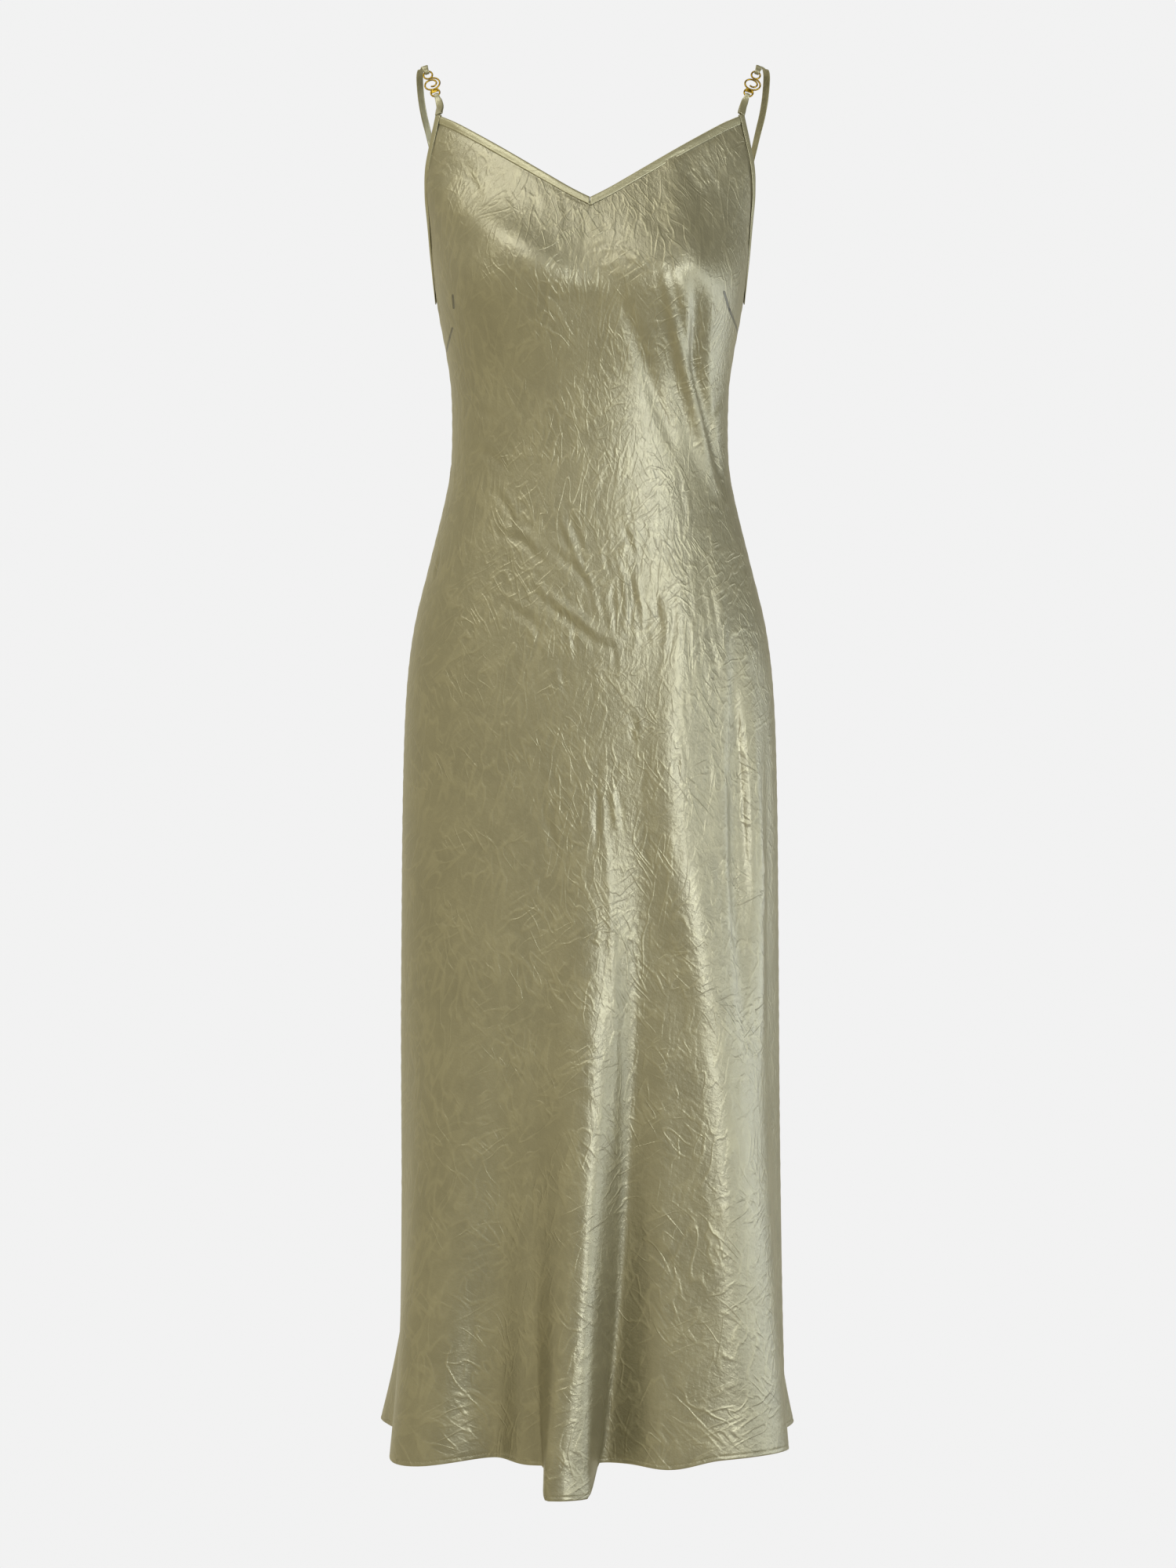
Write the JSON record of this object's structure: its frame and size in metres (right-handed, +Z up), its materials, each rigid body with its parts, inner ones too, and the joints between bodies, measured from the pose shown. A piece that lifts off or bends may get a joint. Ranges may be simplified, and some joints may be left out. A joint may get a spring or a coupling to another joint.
{
  "type": "slip dress",
  "caption": "Long bias-cut satin slip dress with a V neck, bound edges, thin straps with a wire scroll link on each, and soft folds to the hem.",
  "frame": {"origin": "on the middle plane, level with the tops of the straps, where a wearer's shoulders hold the dress up", "axes": "+Z up the dress, -Y the way that its front faces, +X to the right of someone who looks at the front"},
  "size_m": [0.3865, 0.412, 1.2797],
  "materials": {
    "satin": "crinkled satin, soft directional sheen",
    "trim": "folded satin bias strip, edge stitched",
    "gold": "polished gold-coloured wire"
  },
  "bodies": {
    "root": {"front_panel": "satin", "back_panel": "satin", "back_neck_binding": "trim", "front_neck_binding_left": "trim", "front_neck_binding_right": "trim", "armhole_binding_left": "trim", "armhole_binding_right": "trim", "front_strap_left": "trim", "front_strap_right": "trim", "back_strap_left": "trim", "back_strap_right": "trim", "scroll_link_left": "gold", "scroll_link_right": "gold"}
  },
  "joints": []
}
